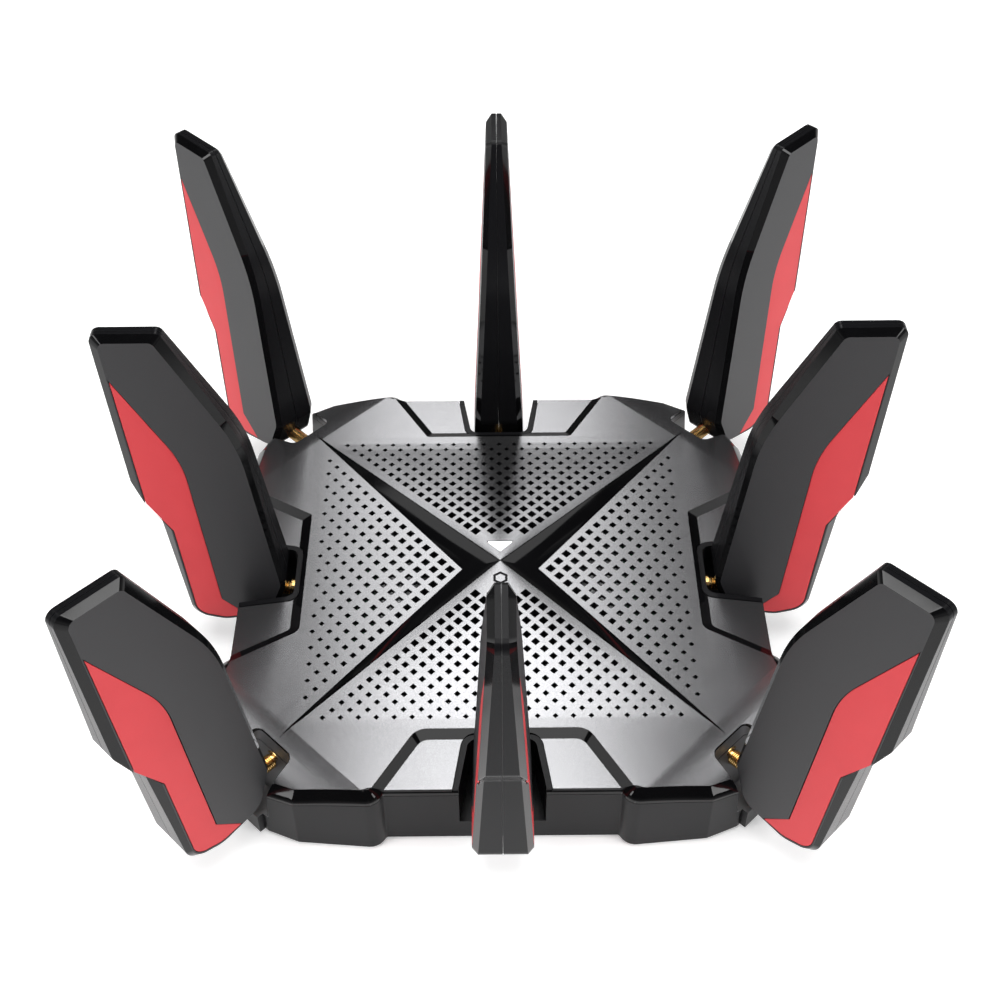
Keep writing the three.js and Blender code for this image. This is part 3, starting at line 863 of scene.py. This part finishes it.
def shaded(piece, angle=30):
    """Smooth curved faces, with the flat ones kept flat."""
    piece.data.shade_smooth()
    piece.data.set_sharp_from_angle(angle=math.radians(angle))
    weighted = piece.modifiers.new("even", "WEIGHTED_NORMAL")
    weighted.keep_sharp = True
    return evaluated(piece)


def panel_plan(quarter):
    return panel_outline(SIDE_APEX if quarter % 2 else 0)


def ledge_plan(margin=0.0):
    corners = notch_outline(DECK, 1.5 + margin, (0.4, 0.4))
    reach = LEDGE_REACH - 0.4 + margin
    far = LEDGE_HALF + 5.6 + margin
    return [corners[0], Vector((-far, -reach)), Vector((far, -reach)), corners[-1]]


def top_frame():
    """The gloss frame: a chamfered rim round the body and four sloping arms that meet in the middle."""
    rise = [(0, FRAME_BOTTOM), (0, RIM_BOTTOM - 0.9), (-0.4, RIM_BOTTOM - 0.1), (-1.3, RIM_BOTTOM + 1.0),
            (-2.6, RIM_BOTTOM + 2.1), (-CHAMFER, DECK)]
    rings = [ring(grown(wall_plan, offset), height) for offset, height in rise]
    frame_rim = Skin().loft(rings, [gloss_black] * 7).object("top_frame_gloss")
    cutters = []
    for quarter in range(4):
        turn = quarter_turn(quarter)
        opening = outline([(0, -24), (-58, -78, 4), (58, -78, 4)])
        cutters += [
            Skin().prism(grown(panel_plan(quarter), GAP), FRAME_SHELF, DECK + 10, gloss_black)
            .turn(turn).object("cut"),
            Skin().prism(ledge_plan(GAP), FRAME_BOTTOM - 1, DECK + 3, gloss_black).turn(turn).object("cut"),
            Skin().prism(opening, 0, DECK + 10, gloss_black).turn(turn).object("cut"),
        ]
    combine(frame_rim, "DIFFERENCE", cutters)
    combine(frame_rim, "UNION", [arms(side) for side in (1, -1)])
    combine(frame_rim, "DIFFERENCE", pocket_cutters())
    rounded(frame_rim, 0.3)
    return mount(shaded(settled(frame_rim), 25), "housing", ["top_frame"])


def arms(side):
    """The two arms of one side: they slope from the front and back panels down to the side panel."""
    end = (CORNER_POCKET["inner"] - 1) * math.sqrt(0.5)
    plan = [(0, 0), (end, -end), (SIDE_APEX, 0), (end, end)]
    fit = grown([Vector(p) for p in plan], -GAP * 1.2)
    mesh = Skin()
    crest = [PEAK - 0.1, DECK, DECK, DECK]
    low = [mesh.mesh.verts.new((p.x, p.y, FRAME_BOTTOM)) for p in fit]
    high = [mesh.mesh.verts.new((p.x, p.y, z)) for p, z in zip(fit, crest)]
    faces = [low[::-1], (high[0], high[1], high[2]), (high[0], high[2], high[3])]
    faces += [(low[i], low[(i + 1) % 4], high[(i + 1) % 4], high[i]) for i in range(4)]
    for corners in faces:
        mesh.mesh.faces.new(corners).material_index = mesh.finish_index(gloss_black)
    if side < 0:
        mesh.turn(Matrix.Rotation(math.pi, 4, "Z"))
    return mesh.object("arms")


def crowned_wedge():
    """The raised part of the front panel, as cross-sections from the centre outwards."""
    end = SLOPE_REACH * (1 + SLOPE_EASE)
    rows = [0.4] + [end * k / 20 for k in range(1, 21)]
    shares = [1 - k / 8 for k in range(17)]
    sections = []
    for reach in rows:
        half = reach - 0.07
        section = [Vector((-half, -reach, FRAME_SHELF + GAP)), Vector((half, -reach, FRAME_SHELF + GAP))]
        section += [Vector((half * s, -reach, deck_height(half * s, reach))) for s in shares]
        sections.append(section)
    return Skin().loft(sections, [gunmetal] * 22)


STEP_RADII = {"front": (8, 8), "right": (5, 1.6), "back": (2, 2), "left": (1.6, 5)}


def panel(side, quarter):
    """One vented panel with its gloss-edged notch and its ledge."""
    turn = quarter_turn(quarter)
    plate = Skin().prism(panel_plan(quarter), FRAME_SHELF + GAP, DECK, gunmetal)
    plate = plate.object(f"{side}_panel_vented")
    ledge = Skin().loft([ring(ledge_plan(), FRAME_BOTTOM), ring(ledge_plan(), DECK)],
                        [satin_black, satin_black, gunmetal]).object("ledge")
    parts = [ledge]
    if quarter % 2 == 0:
        parts.append(crowned_wedge().object("wedge"))
    combine(plate, "UNION", parts)
    radii = STEP_RADII[side]
    steps = [ring(notch_outline(z, 0, radii), z) for z in (LEDGE_TOP, DECK, DECK + 3)]
    notch = Skin().loft(steps, [gunmetal, gloss_black, gloss_black, gloss_black]).object("notch")
    lip_room = Skin().prism(pocket_outline(SIDE_POCKET, 2.5, 5.8), 0, DECK + 10, gloss_black)
    lip_room = lip_room.turn(Matrix.Rotation(-math.pi / 2, 4, "Z")).object("lip_room")
    combine(plate, "DIFFERENCE", [notch, lip_room])
    if side == "back":
        room = Skin().prism([-p for p in light_plan(GAP)], 30, 50, satin_black).object("room")
        combine(plate, "DIFFERENCE", [room])
    rounded(plate, 0.25, 2, 16)
    columns, rows, pitch = (17, 17, 8.8) if quarter % 2 else (21, 18, VENT_PITCH)
    combine(plate, "DIFFERENCE", [vent_cutters(columns, rows, pitch)])
    plate.data.transform(turn)
    return mount(shaded(settled(plate), 12), "housing", [f"{side}_panel"])


def light_plan(margin=0.0):
    return grown([Vector((0, 6)), Vector((5.4, 11.8)), Vector((-5.4, 11.8))], margin)


def status_light():
    plan = light_plan()
    skin = Skin().loft([ring(plan, FRAME_SHELF + 1), ring(plan, lambda p: deck_height(p.x, p.y))], [glow] * 3)
    guide = rounded(skin.object("status_light_lens"), 0.2)
    return mount(shaded(guide), "housing", ["status_light_guide"])


def emblem():
    """A plain printed ring of six sides near the front panel's apex."""
    middle = Vector((0, -10.2))
    corners = [middle + Vector((math.cos(a), math.sin(a))) * 3.6 for a in
               (math.pi / 6 + k * math.pi / 3 for k in range(6))]
    inner = grown(corners, -1.1)
    top = lambda p: deck_height(p.x, p.y) + 0.06
    low = lambda p: deck_height(p.x, p.y) - 0.2
    skin = Skin()
    index = skin.finish_index(print_grey)
    rows = [[skin.mesh.verts.new(v) for v in ring(points, height)]
            for points, height in ((corners, low), (corners, top), (inner, top), (inner, low))]
    for first, second in zip(rows, rows[1:] + rows[:1]):
        for i in range(6):
            j = (i + 1) % 6
            skin.mesh.faces.new((first[i], first[j], second[j], second[i])).material_index = index
    return mount(shaded(skin.object("printed_emblem")), "housing")


# ---- blades ----

def half_thickness(point):
    return BLADE_TIP_HALF + (BLADE_TOP - point.y) * BLADE_TAPER


EDGE_CORNERS = [
    (129, BLADE_TOP, 3, 2), (103.6, 119.9, 80, 4), (94.4, 38, 8, 2), (101, 20.5, 10, 2), (122, 16.5, 12, 1),
    (136.9, 20.5, 8, 3), (143.3, 83, 2, 1), (152.3, 99, 4, 1), (156.4, BLADE_TOP, 4, 2),
]
FACE_CORNERS = [
    (131.8, BLADE_TOP - 2.7, 3, 2), (105.5, 119.5, 75, 4), (96.3, 39.5, 7, 2), (103, 23, 9, 2),
    (122.5, 19, 11, 1), (135.3, 22.5, 8, 3), (139, 74, 2, 1), (148.2, 90.5, 3, 1),
    (152.9, BLADE_TOP - 2.7, 3, 2),
]
INLAY_ARC_STEPS = 4
INLAY_CORNERS = [
    (151.1, 152.6), (129.2, 111.3, 50, INLAY_ARC_STEPS), (123.2, 31.5), (113, 21.6), (122.5, 20.2, 9, 1),
    (134.5, 23.6, 7, 3), (138, 73.2), (147.2, 89.2),
]
FINER = 4
edge_plan = outline(EDGE_CORNERS, FINER)
face_plan = outline(FACE_CORNERS, FINER)
inlay_plan = outline(INLAY_CORNERS, FINER)


def blade_half(mirror):
    """One half shell, with matte faces and gloss bevels, open towards its twin."""
    rim = ring(edge_plan, lambda p: half_thickness(p) - BLADE_BEVEL)
    skin = Skin().loft([ring(edge_plan, GAP / 2), rim, ring(face_plan, half_thickness)],
                       [charcoal, edge_black, gloss_black, charcoal])
    half = skin.turn(mirror).object("blade_half")
    inside = grown(face_plan, -2)
    hollow = Skin().loft([ring(inside, -1), ring(inside, lambda p: half_thickness(p) - 3)], [charcoal] * 3)
    room = grown(inlay_plan, GAP)
    recess = Skin().loft([ring(room, lambda p: half_thickness(p) - INLAY_DEPTH),
                          ring(room, lambda p: half_thickness(p) + 2)], [charcoal] * 3)
    at = Matrix.Translation((82, CONNECTOR_HEIGHT, 0)) @ Matrix.Rotation(math.pi / 2, 4, "Y")
    bore = Skin().lathe([(0, 0), (4, 0), (4, 24), (0, 24)], 32, charcoal, at)
    combine(half, "DIFFERENCE", [tool.turn(mirror).object("tool") for tool in (hollow, recess, bore)])
    rounded(half, 0.3, 2, 20)
    return shaded(half, 25)


def inlay(mirror):
    """The red inlay, with a shallow facet along its inner edge."""
    skin = Skin()
    index = skin.finish_index(red)
    arc_end = INLAY_ARC_STEPS * FINER + 1
    last = arc_end + 2
    facet_width = 4.2
    facet_drop = 0.35

    def share(i):
        """How much of the facet there is at a point of the inner edge."""
        if i == last:
            return 0
        t = max(0, min(1, (136 - inlay_plan[i].y) / 26))
        return t * t * (3 - 2 * t)

    inner = range(0, last + 1)
    inwards = grown(inlay_plan, -facet_width)
    low = [skin.mesh.verts.new(p) for p in ring(inlay_plan, lambda p: half_thickness(p) - INLAY_DEPTH + GAP)]
    high = []
    for i, point in enumerate(inlay_plan):
        drop = facet_drop * share(i) if i in inner else 0
        high.append(skin.mesh.verts.new((point.x, point.y, half_thickness(point) - drop)))
    crease = {}
    for i in inner:
        if share(i) == 0:
            crease[i] = high[i]
            continue
        point = inlay_plan[i].lerp(inwards[i], share(i))
        crease[i] = skin.mesh.verts.new((point.x, point.y, half_thickness(point)))
    faces = [low[::-1]]
    count = len(low)
    faces += [(low[i], low[(i + 1) % count], high[(i + 1) % count], high[i]) for i in range(count)]
    for i in range(last):
        corners = [high[i], high[i + 1], crease[i + 1], crease[i]]
        unique = [v for k, v in enumerate(corners) if v not in corners[:k]]
        if len(unique) > 2:
            faces.append(unique)
    faces.append([crease[i] for i in inner] + high[last + 1:])
    for corners in faces:
        skin.mesh.faces.new(corners).material_index = index
    return shaded(rounded(skin.turn(mirror).object("inlay"), 0.12, 2, 40), 12)


def radiator():
    """The thin radiator strip between the halves, which also closes the seam to light."""
    plan = grown(edge_plan, -0.4)
    strip = Skin().loft([ring(plan, -0.1), ring(plan, 0.1)], [key_black] * 3).object("radiator")
    room = Skin().box((30, 9, 2), (92, CONNECTOR_HEIGHT, 0), key_black).object("room")
    return shaded(combine(strip, "DIFFERENCE", [room]))


def connector(name, inner, length, matrix):
    """A gold RF connector: flange, nut, groove and a threaded barrel."""
    profile = [(0, 0), (3, 0), (3, 2.6), (3.8, 2.6), (4, 2.8), (4, 4.6), (3.8, 4.8), (2.7, 4.8), (2.7, 5.8)]
    pitch = 0.8
    height = 5.8
    while height + pitch < length - 0.6:
        profile += [(3.2, height + pitch * 0.2), (3.2, height + pitch * 0.5), (2.95, height + pitch * 0.8)]
        height += pitch
    profile += [(3.2, height + 0.2), (3.2, length - 0.6), (2.6, length), (0, length)]
    start = Matrix.Translation((inner - 2.2, 0, CONNECTOR_HEIGHT))
    at = matrix @ start @ Matrix.Rotation(math.pi / 2, 4, "Y")
    barrel = Skin().lathe(profile, 40, gold, at).object(f"{name}_gold")
    return mount(shaded(barrel), "housing", [name])


def blades():
    stand = Matrix.Rotation(math.pi / 2, 4, "X")
    flip = Matrix.Diagonal((1, 1, -1, 1))
    hands = {"clockwise": Matrix.Identity(4), "anticlockwise": flip}
    halves = {hand: blade_half(mirror) for hand, mirror in hands.items()}
    inlays = {hand: inlay(mirror) for hand, mirror in hands.items()}
    strip = radiator()
    for number, where in enumerate(PLACES):
        corner = number % 2
        spoke = Matrix.Rotation(number * math.pi / 4, 4, "Z")
        shift = Matrix.Translation((CORNER_OFFSET * MM * corner, 0, 0))
        for hand in hands:
            for source, part, slot in ((halves, "half", "blade_black"), (inlays, "inlay", "red")):
                node = f"{where}_antenna_{hand}_{part}"
                copy = scene_object(f"{node}_finished", source[hand].data.copy())
                copy.data.transform(spoke @ shift @ stand)
                mount(copy, f"{where}_antenna", [node])
        copy = scene_object(f"{where}_antenna_radiator", strip.data.copy())
        copy.data.transform(spoke @ shift @ stand)
        mount(copy, f"{where}_antenna")
        pocket = CORNER_POCKET if corner else SIDE_POCKET
        tip = 102 + CORNER_OFFSET * corner
        connector(f"{where}_antenna_connector", pocket["inner"], tip - pocket["inner"] + 2.2, spoke)
    for piece in (*halves.values(), *inlays.values(), strip):
        bpy.data.objects.remove(piece)


# ---- what is carried over from the frame, with finer edges ----

def refined(node, width, material, body, angle=40):
    """The node's own shape with rounded edges."""
    piece = scene_object(f"{node}_finished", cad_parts[node].data.copy())
    piece.data.materials.clear()
    piece.data.materials.append(material)
    rounded(piece, width, 2, angle)
    return mount(shaded(piece, 35), body, [node])


def sockets():
    """Contacts in the network sockets and on the USB tongue."""
    for side in ("left", "right"):
        low, high = (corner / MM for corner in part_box(f"{side}_ethernet_block"))
        for number, offset in enumerate((-0.5, 0.5)):
            centre = (low.x + high.x) / 2 + offset * 13.9
            start = (centre - 3.57, high.y - 6.5, low.z + 11.0)
            name = f"{side}_socket_{number}_contacts"
            pins = row_of_blocks(name, 8, start, (1.02, 0), (0.45, 9, 0.5), pin_gold)
            mount(pins, "housing")
    low, high = (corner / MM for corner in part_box("usb_port"))
    start = ((low.x + high.x) / 2 - 3.5, high.y - 5.5, low.z + 5.32)
    mount(row_of_blocks("usb_contacts", 4, start, (2.33, 0), (1.1, 7, 0.25), pin_gold), "housing")


def underside_screws():
    """Countersunk screw heads beside the feet."""
    profile = [(0, 0.1), (0.9, 0.1), (1.1, -0.35), (2.5, -0.35), (3.0, 0.1), (3.0, 0.9), (0, 0.9)]
    for number, (x, y) in enumerate(((-98, -64), (98, -64), (-98, 64), (98, 64))):
        at = Matrix.Translation((x, y, CASE_BOTTOM - 1.3))
        screw = Skin().lathe(profile, 24, screw_black, at).object(f"underside_screw_{number + 1}")
        mount(shaded(screw), "housing")


def studio():
    floor_mesh = bmesh.new()
    bmesh.ops.create_grid(floor_mesh, x_segments=1, y_segments=1, size=6)
    data = bpy.data.meshes.new("floor")
    floor_mesh.to_mesh(data)
    floor = scene_object("floor", data)
    paper = Finish("white_paper", roughness=0.9, specular_ior_level=0.0, emission_strength=0.32)
    paper.shader.inputs["Emission Color"].default_value = (1, 1, 1, 1)
    paper.shader.inputs["Base Color"].default_value = (0.93, 0.93, 0.93, 1)
    data.materials.append(paper.material)

    world = bpy.data.worlds.new("studio")
    world.use_nodes = True
    tree = world.node_tree
    way = tree.nodes.new("ShaderNodeTexCoord")
    split = tree.nodes.new("ShaderNodeSeparateXYZ")
    fade = tree.nodes.new("ShaderNodeMapRange")
    fade.interpolation_type = "SMOOTHSTEP"
    for label, value in (("From Min", 0.0), ("From Max", 0.3), ("To Min", 0.6), ("To Max", 0.02)):
        fade.inputs[label].default_value = value
    tree.links.new(way.outputs["Generated"], split.inputs[0])
    tree.links.new(split.outputs["Z"], fade.inputs["Value"])
    tree.nodes["Background"].inputs["Color"].default_value = (1, 1, 1, 1)
    tree.links.new(fade.outputs[0], tree.nodes["Background"].inputs["Strength"])
    bpy.context.scene.world = world

    def lamp(name, azimuth, elevation, distance, width, height, power):
        light = bpy.data.lights.new(name, "AREA")
        light.shape = "RECTANGLE"
        light.size = width
        light.size_y = height
        light.energy = power
        a, e = math.radians(azimuth), math.radians(elevation)
        way = Vector((math.sin(a) * math.cos(e), math.cos(a) * math.cos(e), math.sin(e)))
        made = scene_object(name, light)
        made.location = way * distance
        made.rotation_euler = (-way).to_track_quat("-Z", "Y").to_euler()

    lamp("overhead_softbox", 180, 87, 2.0, 1.4, 1.4, 25)
    lamp("back_column", -1.5, 49, 1.8, 0.42, 0.8, 5.4)
    lamp("apex_softbox", 0, 66, 1.8, 0.44, 0.3, 3.4)
    lamp("left_fill", -65, 55, 1.8, 0.5, 0.4, 1.6)
    lamp("right_fill", 65, 55, 1.8, 0.5, 0.4, 1.6)
    lamp("left_softbox", -118, 30, 2.0, 1.0, 0.8, 24)
    lamp("right_softbox", 118, 30, 2.0, 1.0, 0.8, 24)
    bpy.context.scene.view_settings.view_transform = "Standard"


def camera():
    elevation, yaw, roll = (math.radians(a) for a in (45.32, 0.134, -0.413))
    ce, se = math.cos(elevation), math.sin(elevation)
    tilt = Matrix(((1, 0, 0), (0, -se, -ce), (0, ce, -se)))
    view = Matrix.Rotation(roll, 3, "Z") @ tilt @ Matrix.Rotation(yaw, 3, "Z")
    lens = bpy.data.cameras.new("camera")
    lens.lens = 54.18
    lens.sensor_width = 36
    eye = scene_object("camera", lens)
    rows = Matrix((view[0], -view[1], -view[2])).transposed()
    eye.matrix_world = Matrix.Translation((-0.00096, -0.4491, 0.5346)) @ rows.to_4x4()
    bpy.context.scene.camera = eye


lower_case()
top_frame()
for quarter, side in enumerate(SIDES):
    panel(side, quarter)
status_light()
emblem()
blades()
refined("main_board", 0.15, board_green, "housing")
refined("heat_sink", 0.2, aluminium, "housing")
for block in ("left_ethernet_block", "right_ethernet_block", "usb_port"):
    refined(block, 0.2, nickel, "housing")
refined("power_jack", 0.25, key_black, "housing")
for key in BUTTONS:
    refined(key, 0.3, key_black, key)
for corner in ("front_left", "front_right", "back_left", "back_right"):
    refined(f"{corner}_foot", 0.3, rubber, "housing")
sockets()
underside_screws()
studio()
camera()
